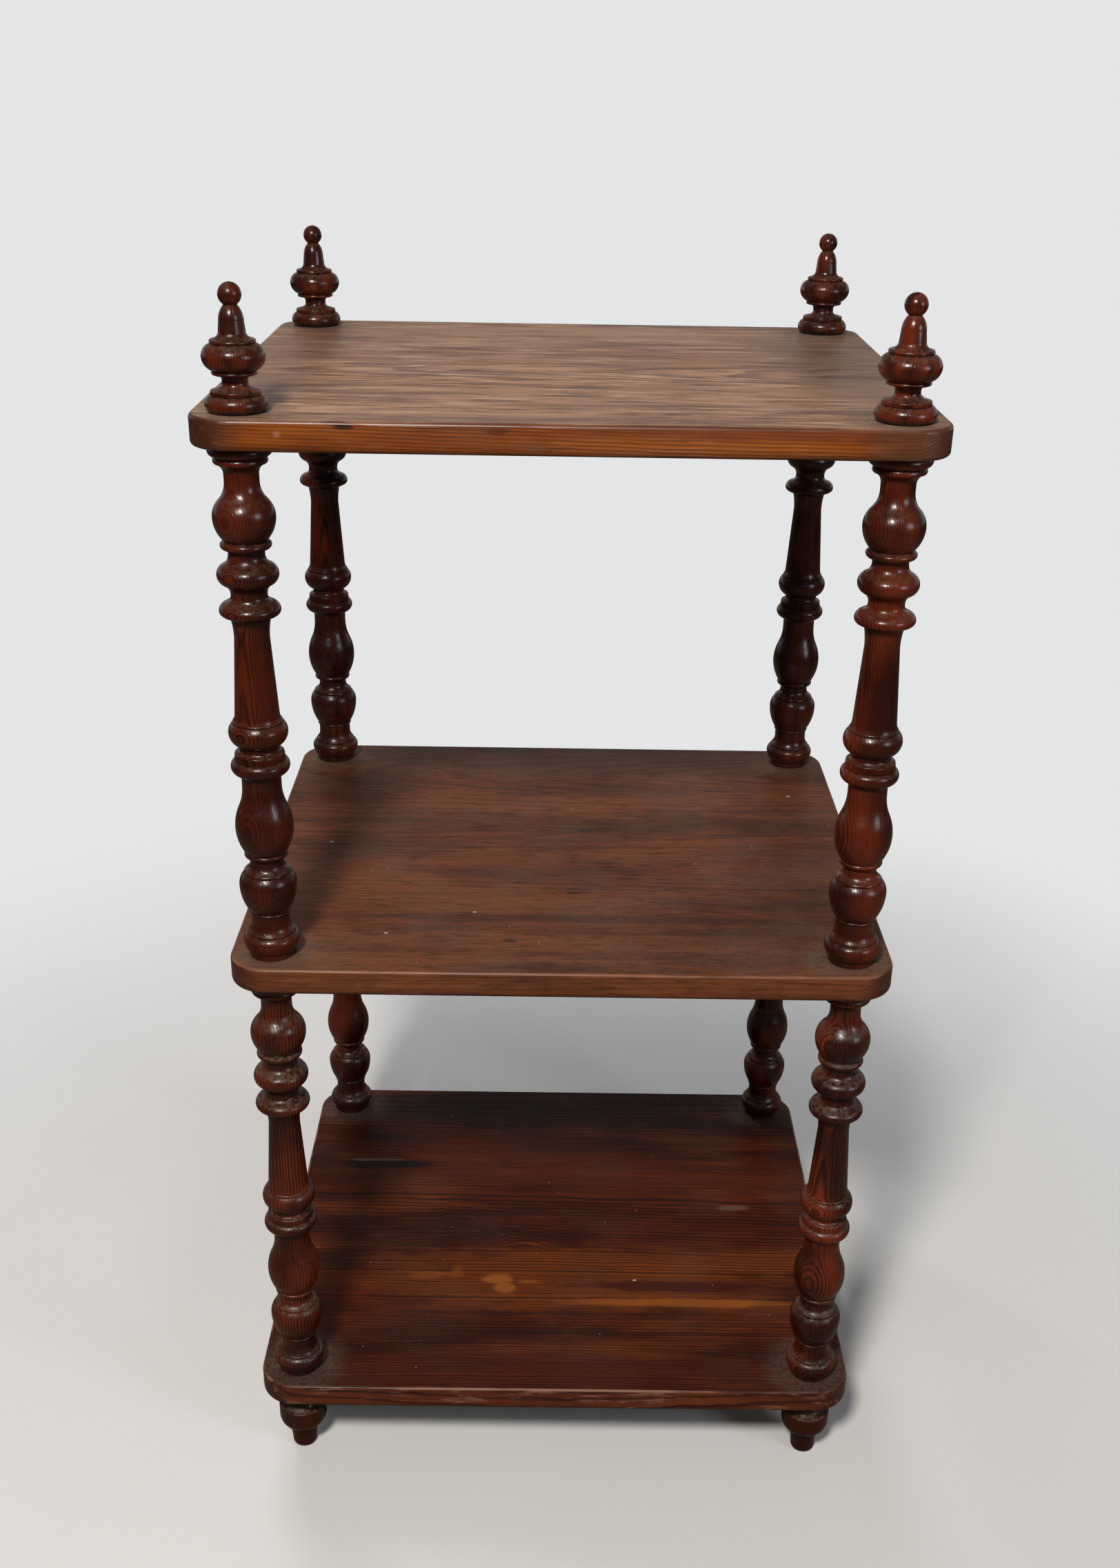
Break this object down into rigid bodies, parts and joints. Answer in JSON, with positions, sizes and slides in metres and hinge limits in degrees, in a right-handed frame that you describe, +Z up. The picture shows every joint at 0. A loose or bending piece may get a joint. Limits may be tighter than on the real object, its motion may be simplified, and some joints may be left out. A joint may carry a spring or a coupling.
{
  "type": "three-tier etagere",
  "caption": "Open display stand: round-cornered wooden shelves on turned baluster posts, with turned feet below and ball finials on top.",
  "frame": {"origin": "on the floor, in the middle between the four feet", "axes": "+Z up, +X to the right across the width, +Y to the back"},
  "size_m": [0.504, 0.452, 0.9789],
  "materials": {
    "top_shelf_wood": "worn satin shellac over stained pitch pine, faded",
    "middle_shelf_wood": "satin shellac over stained pitch pine",
    "bottom_shelf_wood": "satin shellac over stained pitch pine",
    "post_wood": "gloss shellac over stained pitch pine",
    "finial_wood": "gloss shellac over stained pitch pine",
    "foot_wood": "dull, dusty shellac over stained pitch pine"
  },
  "bodies": {
    "root": {"shelf_bottom_board_front": "bottom_shelf_wood", "shelf_bottom_board_back": "bottom_shelf_wood", "shelf_middle_board_front": "middle_shelf_wood", "shelf_middle_board_back": "middle_shelf_wood", "shelf_top_board_front": "top_shelf_wood", "shelf_top_board_back": "top_shelf_wood", "foot_front_left": "foot_wood", "post_lower_front_left": "post_wood", "post_upper_front_left": "post_wood", "finial_front_left": "finial_wood", "foot_front_right": "foot_wood", "post_lower_front_right": "post_wood", "post_upper_front_right": "post_wood", "finial_front_right": "finial_wood", "foot_back_left": "foot_wood", "post_lower_back_left": "post_wood", "post_upper_back_left": "post_wood", "finial_back_left": "finial_wood", "foot_back_right": "foot_wood", "post_lower_back_right": "post_wood", "post_upper_back_right": "post_wood", "finial_back_right": "finial_wood"}
  },
  "joints": []
}
